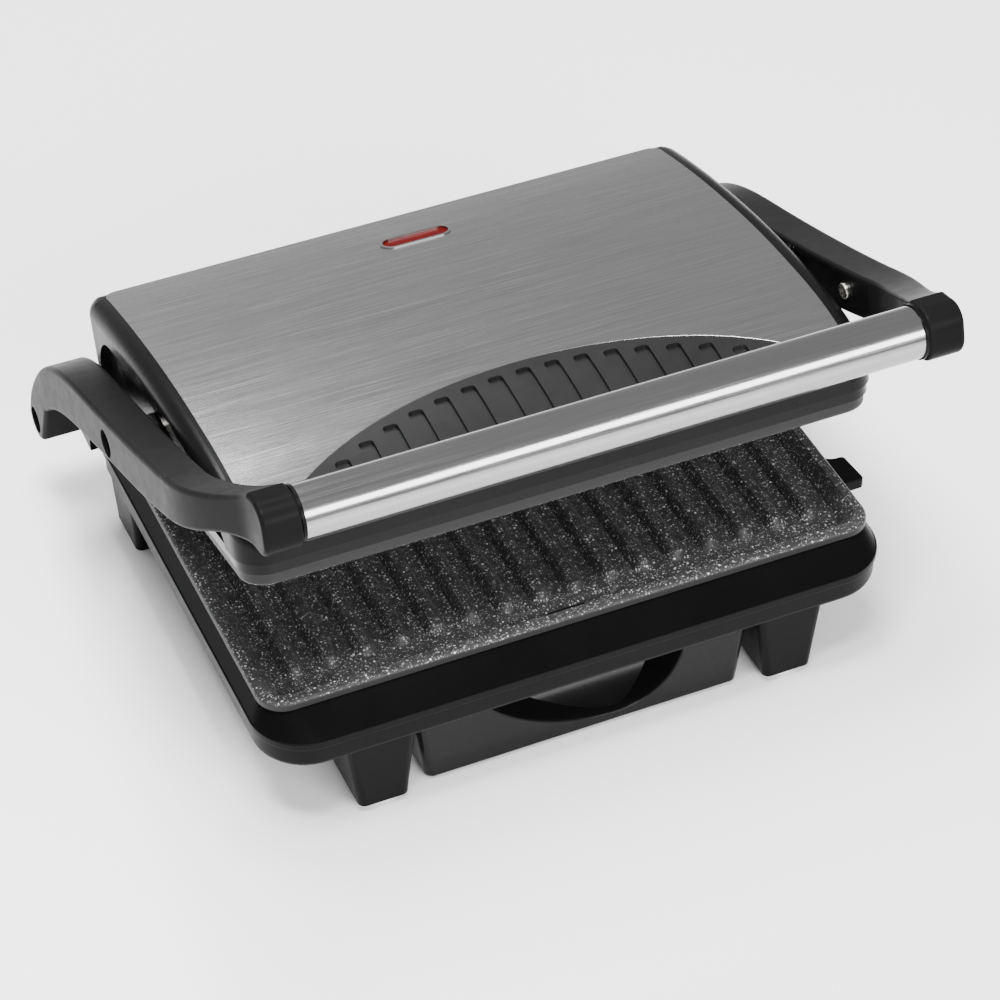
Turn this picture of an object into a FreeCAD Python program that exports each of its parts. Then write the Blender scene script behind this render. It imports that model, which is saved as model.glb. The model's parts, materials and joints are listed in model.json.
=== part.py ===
"""Contact panini press with a floating lid, a U-shaped handle, a storage latch and a drip tray.

Millimetres, +Z up, front towards -Y. Everything is drawn with the front edge of the lower plate
on Y = 0 and the table on Z = 0. The lid and the handle are drawn shut, then swung up together
about the rear hinge to the half-open rest pose. Last, the whole press is moved so that the
origin is at the bottom centre of its box.
"""
import FreeCAD, Part
import math
import os

V = FreeCAD.Vector
X_AXIS = V(1, 0, 0)
Y_AXIS = V(0, 1, 0)
Z_AXIS = V(0, 0, 1)

# Driving dimensions: hinges and rest pose
HINGE_Y, HINGE_Z = 205.0, 45.0
REST_OPENING = 13.5
PIVOT_Y, PIVOT_Z = 90.0, 86.0
PIN_R = 4.0
RUNNING_GAP = 0.05
FIT_GAP = 0.1

# Base
BASE_HALF_W = 128.5
BASE_FRONT, BASE_REAR = -12.0, 189.0
BASE_FLOOR, RIDGE_Z = 32.0, 45.0
BASE_WALL = 2.5
LIP_STEP, LIP_UNDER = 0.9, 41.8
FOOT_H = 3.0
PLATE_HALF_W, PLATE_DEPTH = 125.0, 176.0
RIM_W = 4.5
RIM_UNDER, RIM_TOP = 53.4, 57.0
PLATE_SURFACE, PLATE_BACK = 51.2, 47.8
RIB_PITCH, RIB_COUNT = 14.2, 16
RIB_FRONT, RIB_REAR = 16.5, 160.0

# Drip tray
TRAY_HALF_W, TRAY_FRONT, TRAY_REAR = 68.5, -6.0, 122.0
TRAY_FLOOR, TRAY_TOP = 1.0, 29.3
TRAY_WALL = 2.0
SCOOP_EDGE_R = 0.9

# Lid, drawn shut
LID_HALF_W, LID_REAR = 126.5, 176.4
LID_WALL = 3.2
LID_UNDER = 71.5
UPPER_RIM_UNDER, UPPER_RIM_TOP, UPPER_BACK = 60.9, 66.8, 68.0
COVER_HALF_W, COVER_REAR, COVER_FRONT, COVER_T = 118.8, 170.4, 3.5, 0.8
WINDOW_R, WINDOW_CENTRE_Y = 180.0, -140.5
PANEL_T, PANEL_BOTTOM = 2.6, 76.6
SLOT_PITCH, SLOT_W, SLOT_DEPTH, SLOT_EACH_SIDE = 11.3, 5.8, 1.7, 8
SLOT_BOTTOM, SLOT_INSET = 79.5, 4.2
LENS_X, LENS_Y, LENS_LENGTH, LENS_W = 2.5, 144.6, 27.2, 7.8

# Handle, drawn shut
BAR_Y, BAR_Z, BAR_R, BAR_WALL = -50.3, 114.7, 9.8, 1.2
BAR_HALF_L = 117.0
ARM_IN, ARM_OUT, CAP_OUT = 130.5, 147.0, 132.6
ARM_SKIN = 2.6
CAP_HALF_H, CAP_FRONT = 10.3, -60.7

# Outlines in the Y-Z plane, from rear to front
LID_TOP = [
    (173.0, 107.0),
    (150.0, 108.2),
    (125.0, 108.3),
    (100.0, 107.2),
    (75.0, 104.9),
    (50.0, 101.0),
    (25.0, 95.3),
    (8.0, 88.4),
    (-2.5, 80.8),
    (-4.8, 76.5),
]
ARM_TOP = [
    (213.4, 46.5),
    (204.8, 59.0),
    (195.0, 68.0),
    (178.0, 79.8),
    (152.5, 89.6),
    (111.0, 95.0),
    (68.0, 99.3),
    (30.0, 104.2),
    (-5.0, 110.5),
    (-25.0, 116.2),
    (-46.0, BAR_Z + CAP_HALF_H),
]
ARM_UNDER = [
    (-46.0, BAR_Z - CAP_HALF_H),
    (-36.0, 103.4),
    (-24.0, 100.8),
    (-11.0, 96.2),
    (4.0, 91.6),
    (40.0, 84.4),
    (79.0, 79.6),
    (130.0, 73.6),
    (158.0, 68.4),
    (184.5, 57.4),
]

NODES = {}


# ---------------------------------------------------------------- helpers
def box(x0, x1, y0, y1, z0, z1):
    return Part.makeBox(x1 - x0, y1 - y0, z1 - z0, V(x0, y0, z0))


def rod_x(x0, x1, y, z, radius):
    return Part.makeCylinder(radius, x1 - x0, V(x0, y, z), X_AXIS)


def rod_z(x, y, z0, z1, radius):
    return Part.makeCylinder(radius, z1 - z0, V(x, y, z0), Z_AXIS)


def join(shapes):
    return shapes[0].multiFuse(shapes[1:]).removeSplitter()


def rounded_wire(half_w, y0, y1, z, r_front, r_rear):
    """Closed rounded rectangle, centred on X = 0, in the plane at height z."""
    corners = [
        (half_w - r_front, y0 + r_front, r_front, -90),
        (half_w - r_rear, y1 - r_rear, r_rear, 0),
        (r_rear - half_w, y1 - r_rear, r_rear, 90),
        (r_front - half_w, y0 + r_front, r_front, 180),
    ]
    edges = []
    ends = []
    for cx, cy, radius, start in corners:
        points = []
        for turn in (0, 45, 90):
            angle = math.radians(start + turn)
            points.append(V(cx + radius * math.cos(angle), cy + radius * math.sin(angle), z))
        ends.append((points[0], points[2]))
        edges.append(Part.Arc(*points).toShape())
    for index in range(4):
        leave = ends[index][1]
        arrive = ends[(index + 1) % 4][0]
        edges.append(Part.makeLine(leave, arrive))
    return Part.Wire(Part.__sortEdges__(edges))


def plan_slab(half_w, y0, y1, z0, z1, r_front, r_rear):
    face = Part.Face(rounded_wire(half_w, y0, y1, z0, r_front, r_rear))
    return face.extrude(V(0, 0, z1 - z0))


def frustum(low, high):
    """Solid between two rounded rectangles, each given as rounded_wire's arguments."""
    return Part.makeLoft([rounded_wire(*low), rounded_wire(*high)], True, True)


def lens_slab(length, width, z0, z1):
    """Slab with round ends, centred on the indicator lens."""
    half = (length - width) / 2
    left, right = LENS_X - half, LENS_X + half
    ends = [rod_z(left, LENS_Y, z0, z1, width / 2), rod_z(right, LENS_Y, z0, z1, width / 2)]
    return join(ends + [box(left, right, LENS_Y - width / 2, LENS_Y + width / 2, z0, z1)])


def offset_points(points, inset):
    """Move each point of a Y-Z outline by inset, to the left of its direction of travel."""
    moved = []
    for index, (y, z) in enumerate(points):
        before = points[max(index - 1, 0)]
        after = points[min(index + 1, len(points) - 1)]
        run, rise = after[0] - before[0], after[1] - before[1]
        length = math.hypot(run, rise)
        moved.append((y - inset * rise / length, z + inset * run / length))
    return moved


def spline(points, x):
    curve = Part.BSplineCurve()
    curve.interpolate([V(x, y, z) for y, z in points])
    return curve.toShape()


def lines(points, x):
    return [Part.makeLine(V(x, *a), V(x, *b)) for a, b in zip(points, points[1:])]


def prism_x(edges, x0, x1):
    """Extrude a closed Y-Z outline, drawn at x0, as far as x1."""
    face = Part.Face(Part.Wire(Part.__sortEdges__(edges)))
    return face.extrude(V(x1 - x0, 0, 0))


def tube_along(edges, radius):
    """Round bar that follows edges lying head to tail."""
    path = Part.Wire(edges)
    start = edges[0].valueAt(edges[0].FirstParameter)
    heading = edges[0].tangentAt(edges[0].FirstParameter)
    section = Part.Wire(Part.makeCircle(radius, start, heading))
    return path.makePipeShell([section], True, True)


def mirrored(shape):
    return shape.mirror(V(0, 0, 0), X_AXIS)


def both_sides(shape):
    return Part.makeCompound([shape, mirrored(shape)])


def swing_open(shape):
    """Turn a piece drawn shut up to the rest pose about the rear hinge."""
    turned = shape.copy()
    turned.rotate(V(0, HINGE_Y, HINGE_Z), X_AXIS, -REST_OPENING)
    return turned


# ---------------------------------------------------------------- base
def make_base_housing():
    inset = LIP_STEP
    skirt = plan_slab(
        BASE_HALF_W - inset, BASE_FRONT + inset, BASE_REAR - inset, BASE_FLOOR, RIDGE_Z, 21, 13
    )
    lowest = [edge for edge in skirt.Edges if edge.BoundBox.ZMax < BASE_FLOOR + 0.01]
    skirt = skirt.makeFillet(3.0, lowest)
    lip = plan_slab(BASE_HALF_W, BASE_FRONT, BASE_REAR, LIP_UNDER, RIDGE_Z, 22, 14)
    ledge = [edge for edge in lip.Edges if edge.BoundBox.ZLength < 0.01]
    outer = skirt.fuse(lip.makeFillet(0.5, ledge)).removeSplitter()
    hollow = plan_slab(
        BASE_HALF_W - BASE_WALL,
        BASE_FRONT + BASE_WALL,
        BASE_REAR - BASE_WALL,
        BASE_FLOOR + BASE_WALL,
        RIDGE_Z + 1,
        22 - BASE_WALL,
        14 - BASE_WALL,
    )
    tub = outer.cut(hollow)
    pieces = [tub]
    leg_top = BASE_FLOOR + 2
    front_leg = Part.makeLoft(
        [
            leg_section(74.2, 94.3, -10.4, 24.0, FOOT_H),
            leg_section(70.6, 98.0, -10.8, 26.0, leg_top),
        ],
        True,
        True,
    )
    rear_leg = Part.makeLoft(
        [
            leg_section(104.0, 123.5, 158.0, 184.0, FOOT_H),
            leg_section(102.0, 125.0, 156.0, 186.0, leg_top),
        ],
        True,
        True,
    )
    rail = join([box(71.6, 73.6, 30, 150, 25.0, leg_top), box(69.3, 73.6, 30, 150, 25.0, 27.2)])
    for piece in (front_leg, rear_leg, rail):
        pieces += [piece, mirrored(piece)]
    for x, y in SURROUND_POSTS:
        pieces.append(rod_z(x, y, BASE_FLOOR + 1, RIDGE_Z - 0.2, 4.0))
    housing = join(pieces)
    for x, y in FEET:
        housing = housing.cut(rod_z(x, y, FOOT_H - 1, FOOT_H + 5.2, 3.05))
    for x, y in SURROUND_POSTS:
        housing = housing.cut(rod_z(x, y, BASE_FLOOR - 1, RIDGE_Z + 1, 1.6))
        housing = housing.cut(rod_z(x, y, BASE_FLOOR - 1, BASE_FLOOR + 2.2, 3.3))
    chute_mouth = box(-11.2, 11.2, 14.6, 29.4, BASE_FLOOR - 1, BASE_FLOOR + BASE_WALL + 1)
    latch_slot = box(BASE_HALF_W - 4, BASE_HALF_W + 1, 39.6, 58.4, 40.2, 43.0)
    inlet = Part.makeCylinder(5.05, 6, V(INLET_X, BASE_REAR - 4, INLET_Z), Y_AXIS)
    return housing.cut(chute_mouth).cut(latch_slot).cut(inlet)


def leg_section(x0, x1, y0, y1, z):
    """Rounded rectangle of one leg at height z."""
    radius = 3.0
    wire = rounded_wire((x1 - x0) / 2, y0, y1, z, radius, radius)
    wire.translate(V((x0 + x1) / 2, 0, 0))
    return wire


FEET = [(84.3, -1.8), (-84.3, -1.8), (114.0, 171.0), (-114.0, 171.0)]
SURROUND_POSTS = [(118.0, 4.0), (-118.0, 4.0), (96.0, 180.0), (-96.0, 180.0)]
INLET_X, INLET_Z = -70.0, 39.7


def make_feet():
    pads = []
    for x, y in FEET:
        pad = rod_z(x, y, 0, FOOT_H - 0.02, 7.5)
        rounded = [edge for edge in pad.Edges if edge.BoundBox.ZMax < 0.01]
        pads.append(pad.makeFillet(1.0, rounded).fuse(rod_z(x, y, 1, FOOT_H + 5, 3.0)))
    return Part.makeCompound([pad.removeSplitter() for pad in pads])


def make_base_surround():
    skin = 2.4
    outer = frustum(
        (BASE_HALF_W - 0.6, BASE_FRONT + 0.6, BASE_REAR - 0.6, RIDGE_Z, 21.4, 13.4),
        (PLATE_HALF_W - 1.5, 1.5, PLATE_DEPTH - 1.0, RIM_UNDER - 0.2, 11, 11),
    )
    under = frustum(
        (BASE_HALF_W - 0.6 - skin, BASE_FRONT + 0.6 + skin, BASE_REAR - 0.6 - skin, RIDGE_Z - 0.1, 19, 11),
        (PLATE_HALF_W - 1.5 - skin, 1.5 + skin, PLATE_DEPTH - 1.0 - skin, RIM_UNDER - skin, 9, 9),
    )
    opening = plan_slab(119.6, 4.4, 171.6, RIDGE_Z - 1, RIM_TOP, 8, 8)
    ring = outer.cut(under)
    posts = []
    for x, y in SURROUND_POSTS:
        post = rod_z(x, y, RIDGE_Z, RIDGE_Z + 5.5, 3.6)
        posts.append(post.common(outer))
    ring = join([ring] + posts).cut(opening)
    for x, y in SURROUND_POSTS:
        ring = ring.cut(rod_z(x, y, RIDGE_Z - 1, RIDGE_Z + 3.2, 1.3))
    return ring


def make_surround_screws():
    screws = []
    for x, y in SURROUND_POSTS:
        head = rod_z(x, y, BASE_FLOOR + 0.3, BASE_FLOOR + 2.1, 3.0)
        screws.append(head.fuse(rod_z(x, y, BASE_FLOOR + 1, RIDGE_Z + 3, 1.25)).removeSplitter())
    return Part.makeCompound(screws)


def rib_row(z_root, z_crest, root_w, crest_w, y0, y1):
    """Tapered ribs across the plate, from z_root to z_crest."""
    slope = abs(z_crest - z_root) * 0.6
    ribs = []
    for index in range(RIB_COUNT):
        x = (index - (RIB_COUNT - 1) / 2) * RIB_PITCH
        wires = []
        for half_w, inset, z in ((root_w / 2, 0, z_root), (crest_w / 2, slope, z_crest)):
            wire = rounded_wire(half_w, y0 + inset, y1 - inset, z, half_w * 0.9, half_w * 0.9)
            wire.translate(V(x, 0, 0))
            wires.append(wire)
        ribs.append(Part.makeLoft(wires, True, True))
    return ribs


def make_lower_plate():
    rim = plan_slab(PLATE_HALF_W, 0, PLATE_DEPTH, RIM_UNDER, RIM_TOP, 11, 11)
    top_edges = [edge for edge in rim.Edges if edge.BoundBox.ZMin > RIM_TOP - 0.01]
    rim = rim.makeFillet(1.6, top_edges)
    tub = plan_slab(119.2, 4.8, 171.2, PLATE_BACK, RIM_UNDER + 0.5, 7.6, 7.6)
    dish = frustum(
        (115.5, 9.3, 166.7, PLATE_SURFACE, 5, 5),
        (PLATE_HALF_W - RIM_W + 0.4, RIM_W - 0.4, PLATE_DEPTH - RIM_W + 0.4, RIM_TOP + 0.4, 8, 8),
    )
    plate = rim.fuse(tub).cut(dish)
    plate = join([plate] + rib_row(PLATE_SURFACE - 0.2, 55.0, 9.0, 3.6, RIB_FRONT, RIB_REAR))
    sump = frustum((20, 8.0, 13.0, 49.6, 2, 2), (24, 6.5, 15.0, PLATE_SURFACE + 0.1, 3, 3))
    drain = plan_slab(8.0, 8.6, 12.4, PLATE_BACK - 1, PLATE_SURFACE, 1.5, 1.5)
    return plate.cut(sump).cut(drain)


def make_grease_chute():
    """Short duct that carries fat from the plate's drain back and down into the tray."""
    def duct(grow, z_top, z_bottom):
        high = rounded_wire(9.0 + grow, 7.6 - grow, 13.4 + grow, z_top, 1.2, 1.2)
        low = rounded_wire(9.0 + grow, 21.0 - grow, 27.0 + grow, z_bottom, 1.2, 1.2)
        return Part.makeLoft([low, high], True, True)

    return duct(1.4, PLATE_BACK - 0.2, BASE_FLOOR - 1.4).cut(duct(0, PLATE_BACK + 0.2, BASE_FLOOR - 2.0))


def heater_edges(half_w, y_front, y_rear, z, bend):
    """Centre line of a U-shaped tubular heater, open towards the rear."""
    corner = bend * (1 - math.sqrt(0.5))
    left, right = -half_w, half_w
    return [
        Part.makeLine(V(left, y_rear, z), V(left, y_front + bend, z)),
        Part.Arc(
            V(left, y_front + bend, z), V(left + corner, y_front + corner, z), V(left + bend, y_front, z)
        ).toShape(),
        Part.makeLine(V(left + bend, y_front, z), V(right - bend, y_front, z)),
        Part.Arc(
            V(right - bend, y_front, z), V(right - corner, y_front + corner, z), V(right, y_front + bend, z)
        ).toShape(),
        Part.makeLine(V(right, y_front + bend, z), V(right, y_rear, z)),
    ]


def make_lower_heater():
    return tube_along(heater_edges(62, 44, 160, PLATE_BACK - 3.5, 30), 3.3)


def sheet_tray(half_w, y0, y1, z0, z1, skin):
    """Folded sheet-metal pan, open at the top."""
    outer = plan_slab(half_w, y0, y1, z0, z1, 4, 4)
    inner = plan_slab(half_w - skin, y0 + skin, y1 - skin, z0 + skin, z1 + 1, 4 - skin, 4 - skin)
    return outer.cut(inner)


def make_lower_heat_shield():
    return sheet_tray(112, 32, 166, 36.6, 42.5, 0.8)


def make_lower_thermostat():
    body = join([rod_z(0, 100, 42.6, PLATE_BACK - 0.2, 9.5), box(-14, 14, 97, 103, 45.6, 46.4)])
    tabs = [box(x - 1.6, x + 1.6, 99.4, 100.6, 39.2, 43) for x in (-5, 5)]
    return join([body] + tabs)


def make_terminal_block():
    block = box(-21, 21, 169, 181, BASE_FLOOR + BASE_WALL + 0.1, 43.5)
    for x in (-14, 0, 14):
        block = block.cut(rod_z(x, 175, 38, 45, 2.6))
        block = block.cut(Part.makeCylinder(1.7, 16, V(x, 168, 38.2), Y_AXIS))
    return block


def make_inlet_bush():
    """Moulded bush in the rear wall, where the mains lead enters."""
    y_in = BASE_REAR - BASE_WALL - 2
    parts = [
        Part.makeCylinder(5.0, BASE_WALL + 3, V(INLET_X, y_in, INLET_Z), Y_AXIS),
        Part.makeCylinder(6.8, 1.6, V(INLET_X, BASE_REAR + 0.05, INLET_Z), Y_AXIS),
    ]
    return join(parts).cut(Part.makeCylinder(3.6, 20, V(INLET_X, y_in - 5, INLET_Z), Y_AXIS))


def make_supply_wires():
    """Insulated leads from the inlet to the terminal block."""
    wires = []
    for index in range(3):
        z = INLET_Z - 2.2 + 2.2 * index
        bend = 6.0
        corner = bend * (1 - math.sqrt(0.5))
        y_run = 175.0 + 0.1 * index
        start = V(INLET_X, BASE_REAR - 4.6, z)
        edges = [
            Part.makeLine(start, V(INLET_X, y_run + bend, z)),
            Part.Arc(
                V(INLET_X, y_run + bend, z),
                V(INLET_X + corner, y_run + corner, z),
                V(INLET_X + bend, y_run, z),
            ).toShape(),
            Part.makeLine(V(INLET_X + bend, y_run, z), V(-21.2, y_run, z)),
        ]
        wires.append(tube_along(edges, 1.0))
    return Part.makeCompound(wires)


def make_hinge_bracket():
    """Lug on the right rear corner of the base that carries the hinge pin."""
    x0, x1 = 110.0, 130.0
    barrel = rod_x(x0, x1, HINGE_Y, HINGE_Z, 8.6)
    web = prism_x(
        lines([(189.1, 35.0), (203.0, 36.6), (207.0, 53.3), (189.1, 50.0), (189.1, 35.0)], x0), x0, x1
    )
    lug = barrel.fuse(web).removeSplitter()
    foot = box(x0, x1 - 6, 189.1, 192.0, 34.0, 44.0)
    lug = lug.fuse(foot).removeSplitter()
    return lug.cut(rod_x(x0 - 1, x1 + 1, HINGE_Y, HINGE_Z, PIN_R + 0.02))


def make_hinge_pin():
    shank = rod_x(112.0, 141.2, HINGE_Y, HINGE_Z, PIN_R)
    head = rod_x(141.15, 143.6, HINGE_Y, HINGE_Z, 5.0)
    return shank.fuse(head).removeSplitter().cut(cross_slot(143.6, HINGE_Y, HINGE_Z, 5.0))


def cross_slot(x, y, z, size):
    """Cruciform driver recess, sunk 1.2 mm from the face at x."""
    half = size / 2
    bars = [box(x - 1.2, x + 1, y - half, y + half, z - 0.6, z + 0.6)]
    bars.append(box(x - 1.2, x + 1, y - 0.6, y + 0.6, z - half, z + half))
    return join(bars)


# ---------------------------------------------------------------- drip tray
def scoop_cut():
    """Finger scoop in the tray's front: two tangent arcs, shallow on the left, steep on the right."""
    low_x, low_z, top_z = 14.0, 5.5, 29.0
    left_x, right_x = -39.3, 40.7
    rise = top_z - low_z
    points = []
    for end_x in (left_x, right_x):
        run = abs(end_x - low_x)
        radius = (run * run + rise * rise) / (2 * rise)
        half_turn = math.asin(run / radius) / 2 if run < radius else math.pi / 4
        side = math.copysign(1, end_x - low_x)
        mid = (low_x + side * radius * math.sin(half_turn), low_z + radius * (1 - math.cos(half_turn)))
        points.append((end_x, mid))
    y0 = TRAY_FRONT - 2
    low = V(low_x, y0, low_z)
    left = V(left_x, y0, top_z)
    right = V(right_x, y0, top_z)
    edges = [
        Part.Arc(left, V(points[0][1][0], y0, points[0][1][1]), low).toShape(),
        Part.Arc(low, V(points[1][1][0], y0, points[1][1][1]), right).toShape(),
        Part.makeLine(right, V(right_x, y0, top_z + 5)),
        Part.makeLine(V(right_x, y0, top_z + 5), V(left_x, y0, top_z + 5)),
        Part.makeLine(V(left_x, y0, top_z + 5), left),
    ]
    face = Part.Face(Part.Wire(Part.__sortEdges__(edges)))
    return face.extrude(V(0, 24, 0))


def make_drip_tray():
    outer = frustum(
        (TRAY_HALF_W - 3.4, TRAY_FRONT + 0.8, TRAY_REAR, TRAY_FLOOR, 3.5, 6),
        (TRAY_HALF_W, TRAY_FRONT, TRAY_REAR, TRAY_TOP, 3.5, 6),
    )
    lowest = [edge for edge in outer.Edges if edge.BoundBox.ZMax < TRAY_FLOOR + 0.01]
    outer = outer.makeFillet(1.2, lowest)
    hollow = frustum(
        (TRAY_HALF_W - 5.6, TRAY_FRONT + 2.8, TRAY_REAR - 2, TRAY_FLOOR + TRAY_WALL, 2, 4),
        (TRAY_HALF_W - 2.0, TRAY_FRONT + 2.0, TRAY_REAR - 2, TRAY_TOP + 0.5, 2, 4),
    )
    pocket_block = box(-43.0, 43.0, TRAY_FRONT - 1, 15.0, 0, TRAY_TOP + 2)
    shell = outer.cut(hollow.cut(pocket_block))
    bowl = rod_x(-45, 45, -8.5, 27.5, 23.0)
    shell = shell.cut(scoop_cut().common(bowl))
    mouth = []
    for edge in shell.Edges:
        reach = edge.BoundBox
        if reach.YMax < -4.5 and reach.ZMin > 4 and reach.XLength > 20 and reach.ZLength > 1:
            mouth.append(edge)
    shell = shell.makeFillet(SCOOP_EDGE_R, mouth)
    flanges = [box(TRAY_HALF_W - 1.2, 71.0, 16, 118, TRAY_TOP - 1.8, TRAY_TOP)]
    flanges.append(mirrored(flanges[0]))
    return join([shell] + flanges)


# ---------------------------------------------------------------- storage latch
def make_side_latch():
    """Thumb slide on the right side of the base; its inner plate runs behind the wall."""
    tab_edges = [
        Part.makeLine(V(BASE_HALF_W + 0.3, 36.2, 40.6), V(138.2, 36.2, 40.6)),
        Part.Arc(V(138.2, 36.2, 40.6), V(139.5, 36.8, 40.6), V(140.0, 38.0, 40.6)).toShape(),
        Part.makeLine(V(140.0, 38.0, 40.6), V(139.0, 49.4, 40.6)),
        Part.Arc(V(139.0, 49.4, 40.6), V(138.0, 50.9, 40.6), V(136.2, 51.3, 40.6)).toShape(),
        Part.Arc(V(136.2, 51.3, 40.6), V(131.2, 53.0, 40.6), V(BASE_HALF_W + 0.3, 57.5, 40.6)).toShape(),
        Part.makeLine(V(BASE_HALF_W + 0.3, 57.5, 40.6), V(BASE_HALF_W + 0.3, 36.2, 40.6)),
    ]
    tab = Part.Face(Part.Wire(Part.__sortEdges__(tab_edges))).extrude(V(0, 0, 4.6))
    upper = [edge for edge in tab.Edges if edge.BoundBox.ZMin > 45.1 and edge.BoundBox.XMax > 138.1]
    upper = [edge for edge in upper if edge.BoundBox.YMax < 50]
    tab = tab.makeFillet(1.0, upper)
    stem = box(124.0, BASE_HALF_W + 1, 40.0, 48.0, 40.8, 42.6)
    keeper = box(121.5, BASE_HALF_W - BASE_WALL - 0.3, 36.5, 51.5, 38.6, 44.0)
    return join([tab, stem, keeper])


# ---------------------------------------------------------------- handle, drawn shut
def arm_prism(inset, x0, x1):
    """Side view of an arm, shrunk by inset and extruded from x0 to x1."""
    top = offset_points(ARM_TOP, inset)
    under = offset_points(ARM_UNDER, inset)
    nose_r = CAP_HALF_H - 2.5
    nose_top = (CAP_FRONT + inset + nose_r, BAR_Z + CAP_HALF_H - inset)
    nose_low = (CAP_FRONT + inset + nose_r, BAR_Z - CAP_HALF_H + inset)
    quarter = nose_r * (1 - math.sqrt(0.5))
    front = CAP_FRONT + inset
    barrel_r = 9.0 - inset
    foot = (HINGE_Y - 0.5, HINGE_Z + 0.5)
    low_end = (foot[0] - barrel_r * 0.62, foot[1] - barrel_r * math.sqrt(1 - 0.62**2))
    rear_end = (top[0][0], top[0][1])
    edges = [spline(top, x0), spline(under, x0)]
    edges += lines([top[-1], nose_top], x0)
    high_mid = V(x0, front + quarter, nose_top[1] - quarter)
    edges.append(Part.Arc(V(x0, *nose_top), high_mid, V(x0, front, nose_top[1] - nose_r)).toShape())
    edges += lines([(front, nose_top[1] - nose_r), (front, nose_low[1] + nose_r)], x0)
    low_mid = V(x0, front + quarter, nose_low[1] + quarter)
    edges.append(Part.Arc(V(x0, front, nose_low[1] + nose_r), low_mid, V(x0, *nose_low)).toShape())
    edges += lines([nose_low, under[0]], x0)
    edges += lines([under[-1], low_end], x0)
    lean = math.radians(20)
    lowest = (foot[0] + barrel_r * math.sin(lean), foot[1] - barrel_r * math.cos(lean))
    edges.append(Part.Arc(V(x0, *low_end), V(x0, *lowest), V(x0, *rear_end)).toShape())
    return prism_x(edges, x0, x1)


def arm_plan():
    """Top view of the right arm: straight along the lid, drawn in to the bar at the front."""
    z = 30.0
    free = V(0, 0, 0)
    set_ends = [True, False, False, False, True]
    flare = V(145.2 - ARM_OUT, 14 - 180, 0).normalize() * 18
    outer = Part.BSplineCurve()
    outer.interpolate(
        Points=[V(145.2, 14, z), V(143.6, -4, z), V(139.0, -22, z), V(134.2, -38, z), V(CAP_OUT, -50, z)],
        Tangents=[flare, free, free, free, V(0, -12, 0)],
        TangentFlags=set_ends,
    )
    inner = Part.BSplineCurve()
    inner.interpolate(
        Points=[V(118.3, -48, z), V(121.6, -36, z), V(127.6, -12, z), V(130.1, 2, z), V(ARM_IN, 14, z)],
        Tangents=[V(0, 12, 0), free, free, free, V(0, 12, 0)],
        TangentFlags=set_ends,
    )
    edges = [
        outer.toShape(),
        Part.makeLine(V(CAP_OUT, -50, z), V(CAP_OUT, CAP_FRONT - 1, z)),
        Part.makeLine(V(CAP_OUT, CAP_FRONT - 1, z), V(118.3, CAP_FRONT - 1, z)),
        Part.makeLine(V(118.3, CAP_FRONT - 1, z), V(118.3, -48, z)),
        inner.toShape(),
        Part.makeLine(V(ARM_IN, 14, z), V(ARM_IN, 220, z)),
        Part.makeLine(V(ARM_IN, 220, z), V(ARM_OUT, 220, z)),
        Part.makeLine(V(ARM_OUT, 220, z), V(ARM_OUT, 180, z)),
        Part.makeLine(V(ARM_OUT, 180, z), V(145.2, 14, z)),
    ]
    face = Part.Face(Part.Wire(Part.__sortEdges__(edges)))
    return face.extrude(V(0, 0, 110))


ARM_SCREWS = [(28.5, 95.6), (128.0, 86.2), (178.0, 70.0)]
CAVITY_FRONT = 10.0


def side_edges(body, inner):
    """Edges that run along the inner or the outer side of an arm."""
    found = []
    for edge in body.Edges:
        reach = edge.BoundBox
        at_nose = reach.YMax < CAP_FRONT + 0.5 and reach.XLength < 0.5
        if (reach.YLength > 1 or at_nose) and (reach.XMax < ARM_IN + 0.5) == inner:
            found.append(edge)
    return found


def make_arm():
    body = arm_prism(0, 110, 150).common(arm_plan())
    body = body.makeFillet(1.7, side_edges(body, False))
    body = body.makeFillet(1.2, side_edges(body, True))
    cavity = arm_prism(ARM_SKIN, ARM_IN - 1, 142.6).common(box(100, 150, CAVITY_FRONT, 200, 20, 140))
    for y, z in ARM_SCREWS:
        cavity = cavity.cut(rod_x(132.6, 150, y, z, 3.6))
    for y, z in ((PIVOT_Y, PIVOT_Z), (HINGE_Y, HINGE_Z)):
        cavity = cavity.cut(rod_x(132.6, 150, y, z, 7.0))
    arm = body.cut(cavity)
    for y, z in ((PIVOT_Y, PIVOT_Z), (HINGE_Y, HINGE_Z)):
        arm = arm.cut(rod_x(ARM_IN - 1, 150, y, z, PIN_R + RUNNING_GAP))
        arm = arm.cut(rod_x(141.0, 150, y, z, 5.5))
    for y, z in ARM_SCREWS:
        arm = arm.cut(rod_x(ARM_IN - 1, 140.5, y, z, 1.45))
    spigot = rod_x(BAR_HALF_L - 12, 120, BAR_Y, BAR_Z, BAR_R - BAR_WALL - FIT_GAP)
    arm = arm.fuse(spigot).removeSplitter()
    return arm.cut(rod_x(90, 128.2, BAR_Y, BAR_Z, 2.6)).cut(rod_x(122.2, 128.2, BAR_Y, BAR_Z, 4.8))


def make_arm_cover():
    """Flat closing plate on the inner side of the arm."""
    plate = arm_prism(ARM_SKIN + 0.15, ARM_IN, ARM_IN + 1.9)
    plate = plate.common(box(100, 150, CAVITY_FRONT + 0.15, 199.85, 20, 140))
    for y, z in ARM_SCREWS:
        plate = plate.cut(rod_x(ARM_IN - 1, 134, y, z, 1.8))
    return plate.cut(rod_x(ARM_IN - 1, 134, PIVOT_Y, PIVOT_Z, PIN_R + 0.4)).cut(
        rod_x(ARM_IN - 1, 134, HINGE_Y, HINGE_Z, 9.5)
    )


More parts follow.
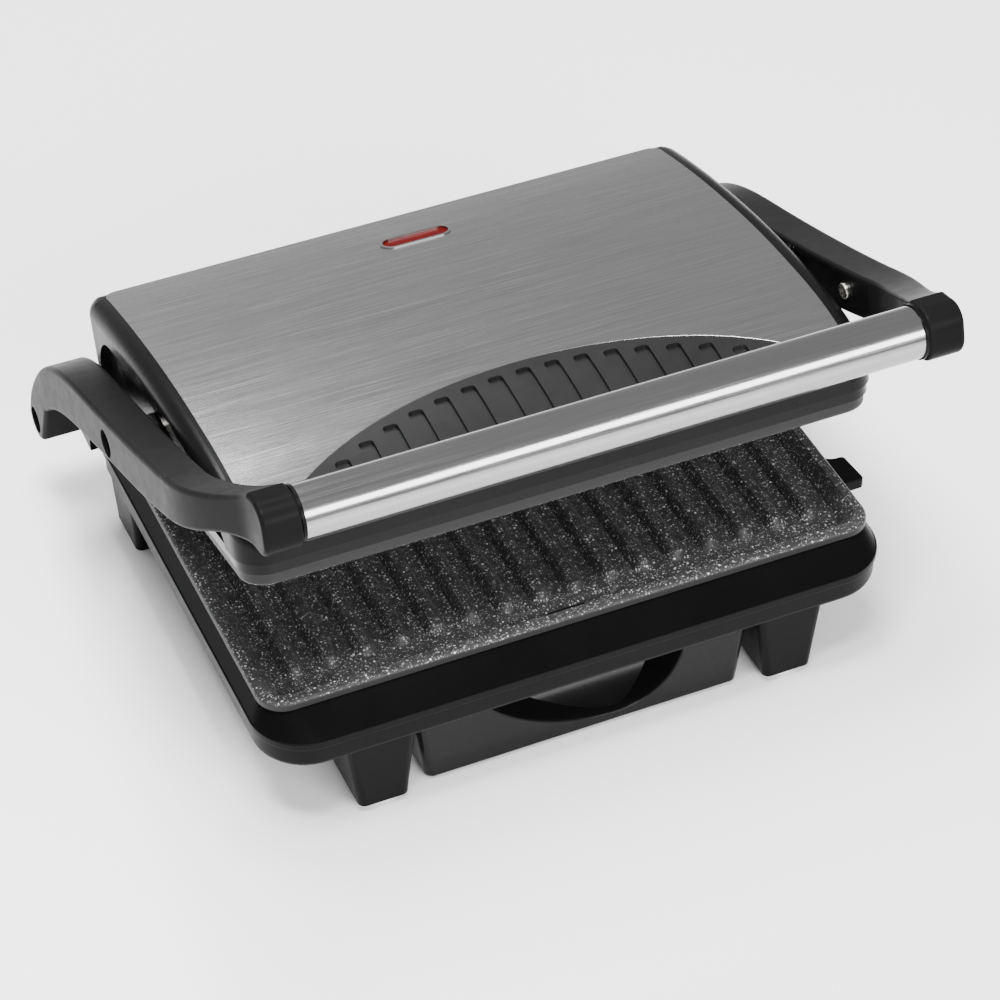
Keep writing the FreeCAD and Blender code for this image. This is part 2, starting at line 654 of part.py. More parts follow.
def make_arm_screws():
    screws = []
    for y, z in ARM_SCREWS:
        head = rod_x(ARM_IN - 1.4, ARM_IN - 0.02, y, z, 3.2)
        outer = [edge for edge in head.Edges if edge.BoundBox.XMax < ARM_IN - 1.39]
        head = head.makeFillet(0.7, outer)
        shank = rod_x(ARM_IN - 0.5, 140, y, z, 1.4)
        recess = join(
            [
                box(ARM_IN - 2, ARM_IN - 0.6, y - 1.9, y + 1.9, z - 0.45, z + 0.45),
                box(ARM_IN - 2, ARM_IN - 0.6, y - 0.45, y + 0.45, z - 1.9, z + 1.9),
            ]
        )
        screws.append(head.fuse(shank).removeSplitter().cut(recess))
    return Part.makeCompound(screws)


def make_pivot_pin():
    """Shoulder screw that carries the lid in the arm."""
    shank = rod_x(118.0, 141.2, PIVOT_Y, PIVOT_Z, PIN_R)
    head = rod_x(141.15, 143.6, PIVOT_Y, PIVOT_Z, 5.0)
    return shank.fuse(head).removeSplitter().cut(cross_slot(143.6, PIVOT_Y, PIVOT_Z, 5.0))


def make_handle_tube():
    outer = rod_x(-BAR_HALF_L, BAR_HALF_L, BAR_Y, BAR_Z, BAR_R)
    return outer.cut(rod_x(-BAR_HALF_L - 1, BAR_HALF_L + 1, BAR_Y, BAR_Z, BAR_R - BAR_WALL))


def make_end_ring():
    outer = rod_x(BAR_HALF_L + 0.05, 118.25, BAR_Y, BAR_Z, BAR_R + 0.5)
    return outer.cut(rod_x(BAR_HALF_L - 1, 120, BAR_Y, BAR_Z, BAR_R - BAR_WALL))


def make_core_rod():
    return rod_x(-126.0, 126.0, BAR_Y, BAR_Z, 2.5)


def make_core_nut():
    flat = 4.6 * math.cos(math.radians(30))
    hexagon = Part.makePolygon(
        [
            V(123.0, BAR_Y + 4.6 * math.cos(math.radians(a)), BAR_Z + 4.6 * math.sin(math.radians(a)))
            for a in range(0, 361, 60)
        ]
    )
    nut = Part.Face(hexagon).extrude(V(flat - 0.9, 0, 0))
    return nut.cut(rod_x(120, 130, BAR_Y, BAR_Z, 2.52))


def make_lid_lead():
    """Heat-proof lead to the lid, where it lies inside the left arm."""
    start, end = V(-137.5, 168.0, 73.2), V(-137.5, 104.0, 82.2)
    return Part.makeCylinder(1.5, start.distanceToPoint(end), start, end - start)


# ---------------------------------------------------------------- lid, drawn shut
def lid_block(inset, half_w, z_low):
    """Lid outline shrunk by inset, as wide as half_w, down to z_low."""
    top = offset_points(LID_TOP, inset)
    front_foot = (-4.6 + inset, z_low)
    rear_foot = (LID_REAR - inset, z_low)
    edges = [spline(top, -half_w)]
    edges += lines([top[-1], front_foot, rear_foot, top[0]], -half_w)
    prism = prism_x(edges, -half_w, half_w)
    plan = plan_slab(half_w, -4.8 + inset, LID_REAR - inset, z_low - 1, 120, 13 - inset, 12 - inset)
    return prism.common(plan)


def lid_skin(above, below, half_w):
    """Curved sheet along the top of the lid, from above its surface to below it."""
    upper = offset_points(LID_TOP, -above)
    lower = offset_points(LID_TOP, below)
    edges = [spline(upper, -half_w), spline(lower, -half_w)]
    edges += lines([upper[0], lower[0]], -half_w)
    edges += lines([upper[-1], lower[-1]], -half_w)
    return prism_x(edges, -half_w, half_w)


def window_drum(radius):
    """Upright cylinder whose rear side is the curved top edge of the vent window."""
    return rod_z(0, WINDOW_CENTRE_Y, 60, 125, radius)


def cover_blank(above, below, gap):
    """Region of the steel cover, grown by gap on its outline."""
    sheet = lid_skin(above, below, COVER_HALF_W + gap)
    field = plan_slab(COVER_HALF_W + gap, COVER_FRONT - gap, COVER_REAR + gap, 60, 125, 3, 5)
    return sheet.common(field).cut(window_drum(WINDOW_R - gap))


def panel_blank(above, below, gap):
    """Region of the vent panel, grown by gap on its outline."""
    sheet = lid_skin(above, below, 112)
    field = box(-104 - gap, 104 + gap, -10, 60, PANEL_BOTTOM - gap, 125)
    return sheet.common(field).common(window_drum(WINDOW_R - FIT_GAP + gap))


LID_POSTS = [(105.0, 24.0), (-105.0, 24.0), (105.0, 156.0), (-105.0, 156.0)]


def make_lid_housing():
    shell = lid_block(0, LID_HALF_W, LID_UNDER)
    shoulder = []
    for edge in shell.Edges:
        if edge.BoundBox.ZMin > LID_UNDER + 1 and edge.BoundBox.ZMax > 85:
            shoulder.append(edge)
    shell = shell.makeFillet(6.0, shoulder)
    cavity = lid_block(LID_WALL, 119.6, LID_UNDER - 1)
    posts = []
    for x, y in LID_POSTS:
        posts.append(rod_z(x, y, LID_UNDER, 110, 4.2).common(cavity))
    shell = shell.cut(cavity)
    shell = join([shell] + posts)
    shell = shell.cut(side_pocket()).cut(mirrored(side_pocket()))
    shell = shell.cut(cover_blank(0.6, COVER_T + FIT_GAP, FIT_GAP))
    shell = shell.cut(panel_blank(0.6, PANEL_T + FIT_GAP, FIT_GAP))
    shell = shell.cut(window_opening())
    for x, y in LID_POSTS:
        shell = shell.cut(rod_z(x, y, LID_UNDER - 1, LID_UNDER + 11, 1.5))
    shell = shell.cut(lens_slab(LENS_LENGTH + 0.4, LENS_W + 0.4, 100, 112))
    return shell.cut(rod_x(-130, 130, PIVOT_Y, PIVOT_Z, 6.55))


def side_pocket():
    """Arched recess in the right side of the lid, beside the arm."""
    x0 = 123.2
    crown = [(y, z - 10.5) for y, z in LID_TOP if 20 < y < 130]
    rear_x, arch_r = 162.0, 20.0
    start = (rear_x - arch_r, crown[0][1])
    corner = arch_r * (1 - math.sqrt(0.5))
    edges = lines([(rear_x, 66.0), (rear_x, crown[0][1] - arch_r)], x0)
    edges.append(
        Part.Arc(
            V(x0, rear_x, crown[0][1] - arch_r),
            V(x0, rear_x - corner, crown[0][1] - corner),
            V(x0, *start),
        ).toShape()
    )
    edges += lines([start, crown[0]], x0)
    edges.append(spline(crown, x0))
    edges += lines([crown[-1], (16.0, 74.0), (16.0, 66.0), (rear_x, 66.0)], x0)
    return prism_x(edges, x0, LID_HALF_W + 1)


def window_opening():
    """Hole through the housing behind the vent panel."""
    field = box(-98, 98, 2.0, 60, LID_UNDER + 10, 125)
    return field.common(window_drum(WINDOW_R - 5)).common(lid_skin(1.0, LID_WALL + 2, 112))


def make_cover_plate():
    sheet = cover_blank(0, COVER_T, 0)
    lip = lens_slab(LENS_LENGTH + 2.4, LENS_W + 2.4, 106, 109.1).common(lid_skin(0.4, 0.4, 60))
    sheet = join([sheet, lip])
    sheet = sheet.cut(lens_slab(LENS_LENGTH + 0.2, LENS_W + 0.2, 100, 115))
    arcs = [edge for edge in sheet.Edges if edge.BoundBox.XLength > 150 and 20 < edge.BoundBox.YLength < 60]
    return sheet.makeFillet(0.5, [max(arcs, key=lambda edge: edge.BoundBox.ZMax)])


def make_indicator_lens():
    window = lens_slab(LENS_LENGTH, LENS_W, 104.6, 112).common(lid_skin(-0.5, 5, 60))
    ledge = lens_slab(LENS_LENGTH + 4, LENS_W + 4, 102.4, 104.7)
    return join([window, ledge])


def make_indicator_lamp():
    """Neon lamp in a clip that hangs from the roof of the lid."""
    x, y0, y1 = LENS_X, LENS_Y - 3, LENS_Y + 3
    bulb = rod_x(x - 8, x + 8, LENS_Y, 99.6, 2.4)
    holder = box(x - 13, x + 13, LENS_Y - 4, LENS_Y + 4, 95.2, 98.6)
    bridge = box(x - 17, x + 17, y0, y1, 95.2, 96.4)
    pieces = [holder, bulb, bridge]
    for side in (-1, 1):
        clip, hanger = x + side * 9.5, x + side * 17
        pieces.append(box(clip - 1, clip + 1, y0, y1, 97, 101))
        pieces.append(box(hanger - 0.8, hanger + 0.8, y0, y1, 95.2, 104.8))
    return join(pieces)


def make_vent_panel():
    panel = panel_blank(0, PANEL_T, 0)
    sheet = lid_skin(0.5, SLOT_DEPTH, 110)
    for index in range(-SLOT_EACH_SIDE, SLOT_EACH_SIDE + 1):
        x = index * SLOT_PITCH
        reach = WINDOW_R - SLOT_INSET
        y_end = WINDOW_CENTRE_Y + math.sqrt(reach * reach - x * x)
        slot = plan_slab(SLOT_W / 2, -9, y_end, SLOT_BOTTOM, 120, 1.2, 1.6)
        slot.translate(V(x, 0, 0))
        panel = panel.cut(slot.common(sheet))
    return panel


def make_lid_frame():
    """Gloss band between the lid housing and the upper plate."""
    outer = plan_slab(125.7, -3.4, LID_REAR - 0.8, UPPER_RIM_TOP + 0.1, LID_UNDER - 0.05, 12, 12)
    ring = outer.cut(plan_slab(119.6, 4.0, 170.6, 60, 80, 8, 8))
    for x, y in LID_POSTS:
        ear = box(min(x, x * 1.15), max(x, x * 1.15), y - 5, y + 5, LID_UNDER - 1.45, LID_UNDER - 0.05)
        ring = ring.fuse(ear.fuse(rod_z(x, y, LID_UNDER - 1.45, LID_UNDER - 0.05, 5.0)))
    ring = ring.removeSplitter()
    for x, y in LID_POSTS:
        ring = ring.cut(rod_z(x, y, 60, 80, 1.9))
    return ring


def make_upper_plate():
    y0, y1 = -1.2, 174.8
    half_w = PLATE_HALF_W - 0.2
    rim = plan_slab(half_w, y0, y1, UPPER_RIM_UNDER, UPPER_RIM_TOP, 11, 11)
    low_edges = [edge for edge in rim.Edges if edge.BoundBox.ZMax < UPPER_RIM_UNDER + 0.01]
    rim = rim.makeFillet(1.6, low_edges)
    tub = plan_slab(117.2, 6.0, 168.6, UPPER_RIM_TOP - 0.5, UPPER_BACK, 7, 7)
    dish = frustum(
        (half_w - RIM_W + 0.4, y0 + RIM_W - 0.4, y1 - RIM_W + 0.4, UPPER_RIM_UNDER - 0.4, 8, 8),
        (113.5, 8.8, 165.8, 65.6, 5, 5),
    )
    plate = rim.fuse(tub).cut(dish)
    return join([plate] + rib_row(65.8, 62.6, 8.6, 3.6, RIB_FRONT - 2, RIB_REAR))


def make_plate_screws():
    """Screws that hold the gloss frame to the lid housing."""
    screws = []
    for x, y in LID_POSTS:
        head = rod_z(x, y, LID_UNDER - 3.1, LID_UNDER - 1.5, 3.0)
        screws.append(head.fuse(rod_z(x, y, LID_UNDER - 2, LID_UNDER + 9, 1.4)).removeSplitter())
    return Part.makeCompound(screws)


def make_upper_heater():
    return tube_along(heater_edges(62, 40, 158, UPPER_BACK + 3.5, 30), 3.3)


def make_upper_heat_shield():
    pan = sheet_tray(96, 14, 166, 78.0, 84.0, 0.8)
    return pan.mirror(V(0, 0, 81.0), Z_AXIS)


def make_thermal_fuse():
    body = rod_x(-6, 6, 120, 89.0, 2.2)
    leads = rod_x(-22, 22, 120, 89.0, 0.6)
    return join([body, leads, box(-3, 3, 116.6, 123.4, 84.2, 87.0)])


def make_upper_thermostat():
    body = join([rod_z(0, 80, UPPER_BACK + 0.2, 72.8, 9.5), box(-14, 14, 77, 83, 69.8, 70.6)])
    tabs = [box(x - 1.6, x + 1.6, 79.4, 80.6, 72, 76.4) for x in (-5, 5)]
    return join([body] + tabs)


def make_pivot_bush():
    outer = join([rod_x(119.8, 127.6, PIVOT_Y, PIVOT_Z, 6.5), rod_x(117.6, 119.5, PIVOT_Y, PIVOT_Z, 8.5)])
    sleeve = join([outer, rod_x(119.0, 120.5, PIVOT_Y, PIVOT_Z, 6.5)])
    return sleeve.cut(rod_x(100, 140, PIVOT_Y, PIVOT_Z, PIN_R + RUNNING_GAP))


# ---------------------------------------------------------------- assembly
def build():
    NODES["base_housing"] = make_base_housing()
    NODES["base_surround"] = make_base_surround()
    NODES["rubber_feet"] = make_feet()
    NODES["surround_screws"] = make_surround_screws()
    NODES["lower_grill_plate"] = make_lower_plate()
    NODES["grease_chute"] = make_grease_chute()
    NODES["lower_heating_element"] = make_lower_heater()
    NODES["lower_heat_shield"] = make_lower_heat_shield()
    NODES["lower_thermostat"] = make_lower_thermostat()
    NODES["terminal_block"] = make_terminal_block()
    NODES["cord_inlet_bush"] = make_inlet_bush()
    NODES["supply_wires"] = make_supply_wires()
    NODES["hinge_bracket_right"] = make_hinge_bracket()
    NODES["hinge_bracket_left"] = mirrored(make_hinge_bracket())
    NODES["hinge_pins"] = both_sides(make_hinge_pin())
    NODES["drip_tray"] = make_drip_tray()
    NODES["side_latch"] = make_side_latch()

    NODES["right_arm"] = swing_open(make_arm())
    NODES["left_arm"] = swing_open(mirrored(make_arm()))
    NODES["right_arm_cover"] = swing_open(make_arm_cover())
    NODES["left_arm_cover"] = swing_open(mirrored(make_arm_cover()))
    NODES["arm_screws"] = swing_open(both_sides(make_arm_screws()))
    NODES["lid_pivot_pins"] = swing_open(both_sides(make_pivot_pin()))
    NODES["handle_tube"] = swing_open(make_handle_tube())
    NODES["handle_end_rings"] = swing_open(both_sides(make_end_ring()))
    NODES["handle_core_rod"] = swing_open(make_core_rod())
    NODES["core_rod_nuts"] = swing_open(both_sides(make_core_nut()))
    NODES["lid_lead"] = swing_open(make_lid_lead())

    NODES["lid_housing"] = swing_open(make_lid_housing())
    NODES["lid_cover_plate"] = swing_open(make_cover_plate())
    NODES["vent_panel"] = swing_open(make_vent_panel())
    NODES["indicator_lens"] = swing_open(make_indicator_lens())
    NODES["indicator_lamp"] = swing_open(make_indicator_lamp())
    NODES["lid_frame"] = swing_open(make_lid_frame())
    NODES["lid_frame_screws"] = swing_open(make_plate_screws())
    NODES["upper_grill_plate"] = swing_open(make_upper_plate())
    NODES["upper_heating_element"] = swing_open(make_upper_heater())
    NODES["upper_heat_shield"] = swing_open(make_upper_heat_shield())
    NODES["upper_thermostat"] = swing_open(make_upper_thermostat())
    NODES["thermal_fuse"] = swing_open(make_thermal_fuse())
    NODES["pivot_bushes"] = swing_open(both_sides(make_pivot_bush()))


def centre_on_origin():
    """Move every piece so that the bottom centre of the whole press is at the origin."""
    whole = Part.makeCompound(list(NODES.values())).optimalBoundingBox(True)
    shift = V(-(whole.XMin + whole.XMax) / 2, -(whole.YMin + whole.YMax) / 2, -whole.ZMin)
    for shape in NODES.values():
        shape.translate(shift)
    return shift


build()
shift = centre_on_origin()
os.makedirs("parts", exist_ok=True)
for name, shape in NODES.items():
    shape.exportStep(f"parts/{name}.step")
    print(f"{name:24s} {len(shape.Solids)} solids, valid {shape.isValid()}, {shape.Volume / 1000:.1f} cm3")
print("moved by", [round(value, 3) for value in shift])
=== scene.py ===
import json

import bmesh
import bpy
from mathutils import Matrix, Vector

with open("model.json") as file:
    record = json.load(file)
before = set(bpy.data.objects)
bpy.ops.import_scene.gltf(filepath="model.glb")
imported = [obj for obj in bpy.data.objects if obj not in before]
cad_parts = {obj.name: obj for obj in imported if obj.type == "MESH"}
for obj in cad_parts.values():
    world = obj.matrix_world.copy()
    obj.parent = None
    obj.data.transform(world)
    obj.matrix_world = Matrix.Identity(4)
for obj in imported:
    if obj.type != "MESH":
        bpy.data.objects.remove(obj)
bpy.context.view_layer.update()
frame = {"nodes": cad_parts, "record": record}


# ---------------------------------------------------------------- node graphs
class Graph:
    """A material being built from shader nodes."""

    def __init__(self, name):
        self.material = bpy.data.materials.new(name)
        self.material.use_nodes = True
        self.tree = self.material.node_tree
        self.tree.nodes.clear()
        self.out = self.tree.nodes.new("ShaderNodeOutputMaterial")
        place = self.add("ShaderNodeTexCoord")
        self.coords = place.outputs["Object"]
        self.normals = place.outputs["Normal"]

    def add(self, kind, inputs=None, **settings):
        node = self.tree.nodes.new(kind)
        for key, value in settings.items():
            setattr(node, key, value)
        for key, value in (inputs or {}).items():
            self.put(node.inputs[key], value)
        return node

    def put(self, socket, value):
        if isinstance(value, bpy.types.NodeSocket):
            self.tree.links.new(value, socket)
        else:
            socket.default_value = value

    def mapped(self, scale, rotation=(0, 0, 0)):
        inputs = {"Vector": self.coords, "Scale": scale, "Rotation": rotation}
        return self.add("ShaderNodeMapping", inputs).outputs["Vector"]

    def noise(self, scale, detail=2.0, rough=0.5, vector=None):
        inputs = {
            "Vector": vector or self.coords,
            "Scale": scale,
            "Detail": detail,
            "Roughness": rough,
        }
        return self.add("ShaderNodeTexNoise", inputs).outputs["Fac"]

    def cells(self, scale, vector=None, randomness=1.0):
        inputs = {"Vector": vector or self.coords, "Scale": scale, "Randomness": randomness}
        return self.add("ShaderNodeTexVoronoi", inputs)

    def remap(self, value, low, high, to_low=0.0, to_high=1.0):
        inputs = {
            "Value": value,
            "From Min": low,
            "From Max": high,
            "To Min": to_low,
            "To Max": to_high,
        }
        return self.add("ShaderNodeMapRange", inputs).outputs["Result"]

    def mix(self, factor, a, b):
        node = self.add("ShaderNodeMix", data_type="RGBA")
        self.put(node.inputs["Factor"], factor)
        self.put(node.inputs["A"], a)
        self.put(node.inputs["B"], b)
        return node.outputs["Result"]

    def math(self, operation, a, b=0.0):
        node = self.add("ShaderNodeMath", operation=operation)
        self.put(node.inputs[0], a)
        self.put(node.inputs[1], b)
        return node.outputs["Value"]

    def bump(self, height, distance, strength):
        inputs = {"Height": height, "Distance": distance, "Strength": strength}
        return self.add("ShaderNodeBump", inputs).outputs["Normal"]

    def surface(self, **inputs):
        shader = self.add("ShaderNodeBsdfPrincipled")
        for key, value in inputs.items():
            self.put(shader.inputs[key.replace("_", " ")], value)
        self.tree.links.new(shader.outputs["BSDF"], self.out.inputs["Surface"])
        return self.material


def grey(level):
    """Near-neutral colour, very slightly cool."""
    return (level, level, level * 1.03, 1)


# ---------------------------------------------------------------- materials
MOULD_GRAIN = 0.00003
MOULD_GRAIN_SCALE = 1800.0
STREAK_CONTRAST = 0.09
# Stone flecks, largest cells last: cell scale, reach from the cell's centre,
# share of the cells that carry a fleck, brightest tone
FLECKS = (
    (900.0, 0.38, 0.36, 0.45),
    (1500.0, 0.42, 0.45, 0.28),
    (520.0, 0.26, 0.22, 0.65),
)


def moulded_plastic(name, level, rough, grain=MOULD_GRAIN, *, shine):
    """Satin plastic with a fine spark-eroded grain and slight wear."""
    g = Graph(name)
    cloud = g.noise(22.0, 3.0)
    fine = g.noise(MOULD_GRAIN_SCALE, 2.0, 0.6)
    patchy = g.noise(160.0, 3.0)
    tone = g.mix(g.remap(cloud, 0.35, 0.65), grey(level * 0.88), grey(level * 1.12))
    marks = g.math("ADD", g.math("MULTIPLY", patchy, 0.6), g.math("MULTIPLY", fine, 0.4))
    wear = g.remap(marks, 0.3, 0.7, rough - 0.05, rough + 0.06)
    return g.surface(
        Base_Color=tone,
        Roughness=wear,
        Specular_IOR_Level=shine,
        Normal=g.bump(fine, grain, 0.6),
    )


def polished_plastic(name, level, shine, rough=0.09):
    """Piano-black plastic with faint ripples and dust in its gloss."""
    g = Graph(name)
    ripple = g.noise(35.0, 2.0)
    haze = g.noise(420.0, 4.0, 0.65)
    tone = g.mix(g.remap(ripple, 0.3, 0.7), grey(level * 0.8), grey(level * 1.2))
    return g.surface(
        Base_Color=tone,
        Roughness=g.remap(haze, 0.35, 0.75, rough, rough + 0.07),
        Specular_IOR_Level=shine,
        Normal=g.bump(ripple, 0.0002, 0.25),
    )


def brushed_metal(name, level, rough, streak=1.0, along=26.0, across=4200.0):
    """Stainless sheet brushed along X: long fine streaks in colour, gloss and relief."""
    g = Graph(name)
    fine = g.noise(1.0, 3.0, 0.7, g.mapped((along, across, across)))
    coarse = g.noise(1.0, 2.0, 0.6, g.mapped((along * 0.5, across * 0.4, across * 0.4)))
    streaks = g.math("ADD", g.math("MULTIPLY", fine, 0.8), g.math("MULTIPLY", coarse, 0.2))
    low = level * (1 - STREAK_CONTRAST * streak)
    high = level * (1 + STREAK_CONTRAST * streak)
    grain_run = g.add("ShaderNodeCombineXYZ", {"X": 1.0, "Y": 0.0, "Z": 0.0})
    tone = g.mix(
        g.remap(streaks, 0.36, 0.64),
        (low, low, low, 1),
        (high, high, high, 1),
    )
    return g.surface(
        Base_Color=tone,
        Metallic=1.0,
        Roughness=g.remap(streaks, 0.35, 0.65, rough - 0.05, rough + 0.08),
        Anisotropic=0.6,
        Anisotropic_Rotation=0.25,
        Tangent=grain_run.outputs["Vector"],
        Normal=g.bump(streaks, 0.000004, 0.4 * streak),
    )


def stone_coating():
    """Charcoal non-stick coating with pale flecks in three sizes, left off steep walls, which are
    painted a flat darker grey as painted shade.
    """
    g = Graph("stone_coating")
    wander = g.add("ShaderNodeVectorMath", operation="ADD")
    drift = g.add("ShaderNodeTexNoise", {"Vector": g.coords, "Scale": 900.0, "Detail": 1.0})
    scaled = g.add("ShaderNodeVectorMath", {"Scale": 0.0007}, operation="SCALE")
    g.put(scaled.inputs[0], drift.outputs["Color"])
    g.put(wander.inputs[0], g.coords)
    g.put(wander.inputs[1], scaled.outputs["Vector"])
    place = wander.outputs["Vector"]
    tone = g.mix(g.remap(g.noise(300.0, 3.0), 0.35, 0.65), grey(0.022), grey(0.036))
    flecks = None
    for scale, reach, share, bright in FLECKS:
        cell = g.cells(scale, place)
        size = g.remap(cell.outputs["Distance"], reach, reach * 0.6)
        pick = g.add("ShaderNodeSeparateColor", {"Color": cell.outputs["Color"]})
        chosen = g.remap(pick.outputs["Red"], share, share - 0.12)
        mask = g.math("MULTIPLY", size, chosen)
        shade = g.remap(pick.outputs["Green"], 0.0, 1.0, bright * 0.4, bright)
        colour = g.add("ShaderNodeCombineColor", {"Red": shade, "Green": shade, "Blue": shade})
        tone = g.mix(mask, tone, colour.outputs["Color"])
        flecks = mask if flecks is None else g.math("MAXIMUM", flecks, mask)
    # Painted shade: faces that point sideways (normal Z below about 0.28 to 0.45) get a flat
    # darker grey and no flecks, chosen by which way they face.
    facing = g.add("ShaderNodeSeparateXYZ", {"Vector": g.normals}).outputs["Z"]
    level = g.remap(g.math("ABSOLUTE", facing), 0.28, 0.45)
    tone = g.mix(level, grey(0.016), tone)
    pores = g.noise(1500.0, 2.0)
    relief = g.math("ADD", pores, g.math("MULTIPLY", flecks, 0.5))
    return g.surface(
        Base_Color=tone,
        Roughness=g.remap(pores, 0.3, 0.7, 0.34, 0.5),
        Specular_IOR_Level=0.16,
        Normal=g.bump(relief, 0.00006, 0.6),
    )


def tinted_lens():
    """Red indicator window with a faint moulded grid behind its face."""
    g = Graph("red_lens")
    cell = g.cells(420.0, randomness=0.2)
    glow = g.remap(cell.outputs["Distance"], 0.1, 0.6)
    cloud = g.noise(90.0, 2.0)
    tone = g.mix(g.math("MULTIPLY", glow, 0.6), (0.085, 0.002, 0.002, 1), (0.03, 0.001, 0.001, 1))
    tone = g.mix(g.remap(cloud, 0.3, 0.7, 0.0, 0.35), tone, (0.12, 0.003, 0.002, 1))
    return g.surface(
        Base_Color=tone,
        Roughness=g.remap(cloud, 0.3, 0.7, 0.12, 0.2),
        IOR=1.5,
        Subsurface_Weight=0.15,
        Subsurface_Scale=0.002,
        Specular_IOR_Level=0.05,
    )


def clear_rubber():
    """Milky soft rubber of the feet."""
    g = Graph("clear_rubber")
    cloud = g.noise(180.0, 3.0)
    return g.surface(
        Base_Color=g.mix(g.remap(cloud, 0.3, 0.7), grey(0.72), grey(0.86)),
        Roughness=g.remap(cloud, 0.3, 0.7, 0.38, 0.5),
        Transmission_Weight=0.2,
        IOR=1.45,
        Subsurface_Weight=0.3,
        Subsurface_Scale=0.004,
        Normal=g.bump(g.noise(900.0, 2.0), 0.00003, 0.5),
    )


def cast_finish(name, colour, metallic, rough, scale=700.0, depth=0.00004):
    """General mottled finish for castings, plating, sheet and mouldings."""
    g = Graph(name)
    cloud = g.noise(scale * 0.12, 3.0)
    grain = g.noise(scale, 3.0, 0.6)
    dark = tuple(0.78 * c for c in colour) + (1,)
    light = tuple(min(1.0, 1.15 * c) for c in colour) + (1,)
    return g.surface(
        Base_Color=g.mix(g.remap(cloud, 0.3, 0.7), dark, light),
        Metallic=metallic,
        Roughness=g.remap(grain, 0.3, 0.7, rough - 0.06, rough + 0.08),
        Normal=g.bump(grain, depth, 0.6),
    )


satin_black = moulded_plastic("satin_black", 0.003, 0.34, shine=0.05)
arm_black = moulded_plastic("arm_black", 0.006, 0.34, shine=0.02)
vent_black = moulded_plastic("vent_black", 0.010, 0.36, 0.00002, shine=0.16)
lid_black = moulded_plastic("lid_black", 0.004, 0.3, 0.00002, shine=0.08)
tray_black = moulded_plastic("tray_black", 0.006, 0.2, 0.000015, shine=0.1)
surround_black = moulded_plastic("surround_black", 0.003, 0.3, 0.00001, shine=0.02)
gloss_black = polished_plastic("gloss_black", 0.002, 0.14)
steel = brushed_metal("brushed_steel", 0.32, 0.22)
tube_steel = brushed_metal("tube_steel", 0.28, 0.13, streak=0.4)
coating = stone_coating()
zinc = cast_finish("zinc_steel", (0.62, 0.60, 0.55), 1.0, 0.28, 900.0, 0.00002)
aluminium = cast_finish("pressed_aluminium", (0.72, 0.72, 0.73), 1.0, 0.38)
sheath = cast_finish("heater_sheath", (0.26, 0.24, 0.22), 1.0, 0.45)
nylon = cast_finish("pale_nylon", (0.72, 0.69, 0.6), 0.0, 0.42)
sleeve = cast_finish("wire_sleeve", (0.7, 0.66, 0.55), 0.0, 0.6, 1600.0, 0.0001)
lens = tinted_lens()
rubber = clear_rubber()

FINISH = {
    "satin_black": satin_black,
    "gloss_black": gloss_black,
    "stone_coating": coating,
    "brushed_steel": steel,
    "zinc_steel": zinc,
    "pressed_aluminium": aluminium,
    "heater_sheath": sheath,
    "clear_rubber": rubber,
    "pale_nylon": nylon,
    "wire_sleeve": sleeve,
    "red_lens": lens,
}
SPECIAL = {
    "right_arm": arm_black,
    "left_arm": arm_black,
    "vent_panel": vent_black,
    "lid_housing": lid_black,
    "drip_tray": tray_black,
    "base_surround": surround_black,
    "handle_tube": tube_steel,
}


def finish_nodes():
    """Give every CAD node its material."""
    slots = {row["node"]: row["material_slot"] for row in frame["record"]["subparts"]}
    for name, obj in frame["nodes"].items():
        obj.data.materials.clear()
        obj.data.materials.append(SPECIAL.get(name, FINISH[slots[name]]))


finish_nodes()


# ---------------------------------------------------------------- studio
FLOOR_HALF_SIZE = 6.0
FLOOR_GAP = 0.0002
WORLD_STRENGTH = 0.6
SENSOR_MM = 36.0
FOCAL_MM = 124.2
CAMERA_PLACE = Vector((-0.3924, -0.93479, 0.9405))
CAMERA_RIGHT = Vector((0.9163, -0.4004, -0.0104))
CAMERA_UP = Vector((0.2726, 0.6044, 0.7486))
CAMERA_BACK = Vector((-0.2934, -0.6887, 0.6630))
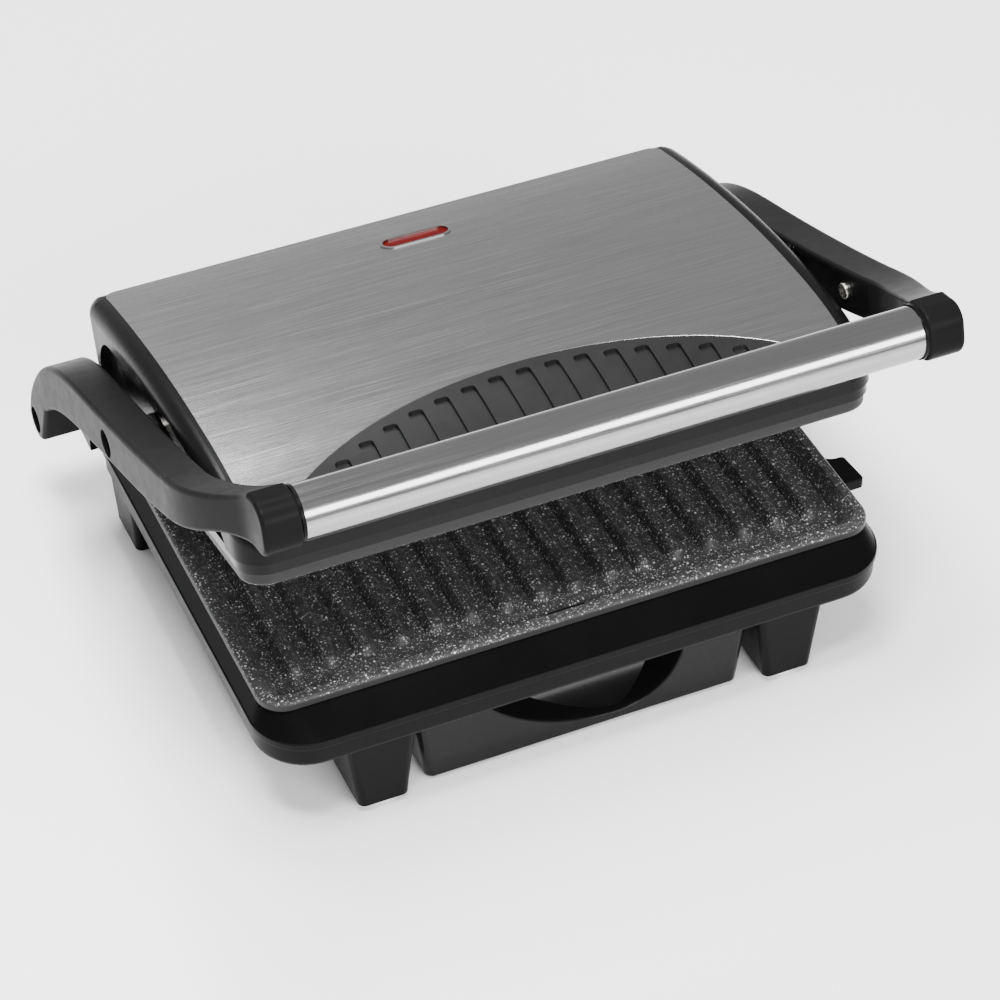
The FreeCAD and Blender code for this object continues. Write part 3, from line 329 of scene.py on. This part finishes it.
# name, place, point it faces, width, height, power in watts
LAMPS = (
    ("key", (-0.3, -0.3, 2.2), (0, 0, 0.05), 0.9, 0.7, 120),
    ("front_softbox", (0.35, -2.0, 1.1), (0, 0, 0.1), 1.7, 0.75, 75),
    ("rear_softbox", (-0.02, 1.35, 1.85), (-0.1, 0, 0.1), 0.6, 0.7, 38),
    ("low_front", (-0.5, -2.2, 0.3), (0, 0, 0.05), 1.6, 0.3, 8),
)


def area_light(name, place, aim, size, size_y, power):
    """Rectangular lamp at place that faces aim."""
    data = bpy.data.lights.new(name, "AREA")
    data.shape = "RECTANGLE"
    data.size = size
    data.size_y = size_y
    data.energy = power
    lamp = bpy.data.objects.new(name, data)
    lamp.location = place
    lamp.rotation_mode = "QUATERNION"
    lamp.rotation_quaternion = (Vector(aim) - Vector(place)).to_track_quat("-Z", "Y")
    bpy.context.scene.collection.objects.link(lamp)


def make_floor():
    """Plain pale floor, wide enough for every view."""
    bm = bmesh.new()
    bmesh.ops.create_grid(bm, x_segments=8, y_segments=8, size=FLOOR_HALF_SIZE)
    mesh = bpy.data.meshes.new("floor")
    bm.to_mesh(mesh)
    bm.free()
    floor = bpy.data.objects.new("floor", mesh)
    floor.location = (0, 0, -FLOOR_GAP)
    g = Graph("floor_white")
    cloud = g.noise(0.6, 2.0)
    g.surface(
        Base_Color=g.mix(cloud, (0.93, 0.93, 0.935, 1), (0.95, 0.95, 0.95, 1)),
        Roughness=0.32,
    )
    mesh.materials.append(g.material)
    bpy.context.scene.collection.objects.link(floor)


def make_world():
    """Even white surroundings."""
    world = bpy.data.worlds.new("studio")
    world.use_nodes = True
    back = world.node_tree.nodes["Background"]
    back.inputs["Color"].default_value = (1.0, 1.0, 1.0, 1)
    back.inputs["Strength"].default_value = WORLD_STRENGTH
    bpy.context.scene.world = world


def make_camera():
    """Long lens, above the press and a little to its left."""
    data = bpy.data.cameras.new("camera")
    data.sensor_width = SENSOR_MM
    data.lens = FOCAL_MM
    data.clip_start = 0.05
    data.clip_end = 50.0
    camera = bpy.data.objects.new("camera", data)
    axes = Matrix((CAMERA_RIGHT, CAMERA_UP, CAMERA_BACK))
    camera.matrix_world = Matrix.Translation(CAMERA_PLACE) @ axes.transposed().to_4x4()
    bpy.context.scene.collection.objects.link(camera)
    bpy.context.scene.camera = camera


make_floor()
make_world()
make_camera()
for lamp in LAMPS:
    area_light(*lamp)
